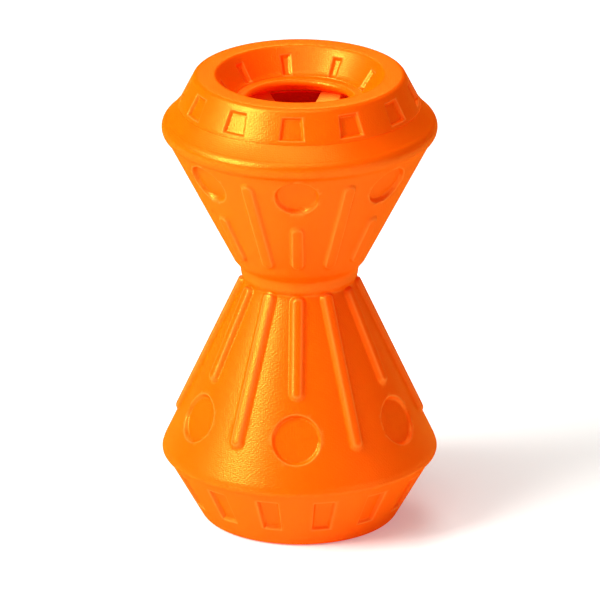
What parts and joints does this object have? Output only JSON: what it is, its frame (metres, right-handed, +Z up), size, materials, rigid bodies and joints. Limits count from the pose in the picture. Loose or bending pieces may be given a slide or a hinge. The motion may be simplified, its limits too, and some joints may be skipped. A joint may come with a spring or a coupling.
{
  "type": "rubber chew toy",
  "caption": "Hollow rubber hourglass chew toy with flanged ends, ribbed and dimpled cones, and bowl-shaped mouths gated by springy inward-sloping prongs.",
  "frame": {"origin": "centre of the base rim's flat face, on the toy's centre line", "axes": "+Z up along the centre line, -Y towards the front of the picture"},
  "size_m": [0.074, 0.074, 0.125],
  "materials": {
    "orange_rubber": "matte pebbled",
    "gate_rubber": "smooth satin"
  },
  "bodies": {
    "shell": {"hourglass_body": "orange_rubber", "upper_end_cap": "orange_rubber", "lower_end_cap": "orange_rubber", "upper_gate_ring": "gate_rubber", "lower_gate_ring": "gate_rubber"},
    "upper_prong_1": {"upper_prong_1": "gate_rubber"},
    "upper_prong_2": {"upper_prong_2": "gate_rubber"},
    "upper_prong_3": {"upper_prong_3": "gate_rubber"},
    "upper_prong_4": {"upper_prong_4": "gate_rubber"},
    "upper_prong_5": {"upper_prong_5": "gate_rubber"},
    "upper_prong_6": {"upper_prong_6": "gate_rubber"},
    "lower_prong_1": {"lower_prong_1": "gate_rubber"},
    "lower_prong_2": {"lower_prong_2": "gate_rubber"},
    "lower_prong_3": {"lower_prong_3": "gate_rubber"},
    "lower_prong_4": {"lower_prong_4": "gate_rubber"},
    "lower_prong_5": {"lower_prong_5": "gate_rubber"},
    "lower_prong_6": {"lower_prong_6": "gate_rubber"}
  },
  "joints": [
    {"name": "upper_prong_1_flex", "type": "hinge", "parent": "shell", "child": "upper_prong_1", "pos_m": [0.01027, -0.01551, 0.1126], "axis": [0.8339, 0.5519, 0], "range_deg": [-45, 25], "stiffness_Nm_per_rad": 0.01},
    {"name": "upper_prong_2_flex", "type": "hinge", "parent": "shell", "child": "upper_prong_2", "pos_m": [0.01857, 0.00114, 0.1126], "axis": [-0.061, 0.9981, 0], "range_deg": [-45, 25], "stiffness_Nm_per_rad": 0.01},
    {"name": "upper_prong_3_flex", "type": "hinge", "parent": "shell", "child": "upper_prong_3", "pos_m": [0.0083, 0.01665, 0.1126], "axis": [-0.8949, 0.4462, 0], "range_deg": [-45, 25], "stiffness_Nm_per_rad": 0.01},
    {"name": "upper_prong_4_flex", "type": "hinge", "parent": "shell", "child": "upper_prong_4", "pos_m": [-0.01027, 0.01551, 0.1126], "axis": [-0.8339, -0.5519, 0], "range_deg": [-45, 25], "stiffness_Nm_per_rad": 0.01},
    {"name": "upper_prong_5_flex", "type": "hinge", "parent": "shell", "child": "upper_prong_5", "pos_m": [-0.01857, -0.00114, 0.1126], "axis": [0.061, -0.9981, 0], "range_deg": [-45, 25], "stiffness_Nm_per_rad": 0.01},
    {"name": "upper_prong_6_flex", "type": "hinge", "parent": "shell", "child": "upper_prong_6", "pos_m": [-0.0083, -0.01665, 0.1126], "axis": [0.8949, -0.4462, 0], "range_deg": [-45, 25], "stiffness_Nm_per_rad": 0.01},
    {"name": "lower_prong_1_flex", "type": "hinge", "parent": "shell", "child": "lower_prong_1", "pos_m": [0.01027, -0.01551, 0.0124], "axis": [-0.8339, -0.5519, 0], "range_deg": [-45, 25], "stiffness_Nm_per_rad": 0.01},
    {"name": "lower_prong_2_flex", "type": "hinge", "parent": "shell", "child": "lower_prong_2", "pos_m": [0.01857, 0.00114, 0.0124], "axis": [0.061, -0.9981, 0], "range_deg": [-45, 25], "stiffness_Nm_per_rad": 0.01},
    {"name": "lower_prong_3_flex", "type": "hinge", "parent": "shell", "child": "lower_prong_3", "pos_m": [0.0083, 0.01665, 0.0124], "axis": [0.8949, -0.4462, 0], "range_deg": [-45, 25], "stiffness_Nm_per_rad": 0.01},
    {"name": "lower_prong_4_flex", "type": "hinge", "parent": "shell", "child": "lower_prong_4", "pos_m": [-0.01027, 0.01551, 0.0124], "axis": [0.8339, 0.5519, 0], "range_deg": [-45, 25], "stiffness_Nm_per_rad": 0.01},
    {"name": "lower_prong_5_flex", "type": "hinge", "parent": "shell", "child": "lower_prong_5", "pos_m": [-0.01857, -0.00114, 0.0124], "axis": [-0.061, 0.9981, 0], "range_deg": [-45, 25], "stiffness_Nm_per_rad": 0.01},
    {"name": "lower_prong_6_flex", "type": "hinge", "parent": "shell", "child": "lower_prong_6", "pos_m": [-0.0083, -0.01665, 0.0124], "axis": [-0.8949, 0.4462, 0], "range_deg": [-45, 25], "stiffness_Nm_per_rad": 0.01}
  ]
}
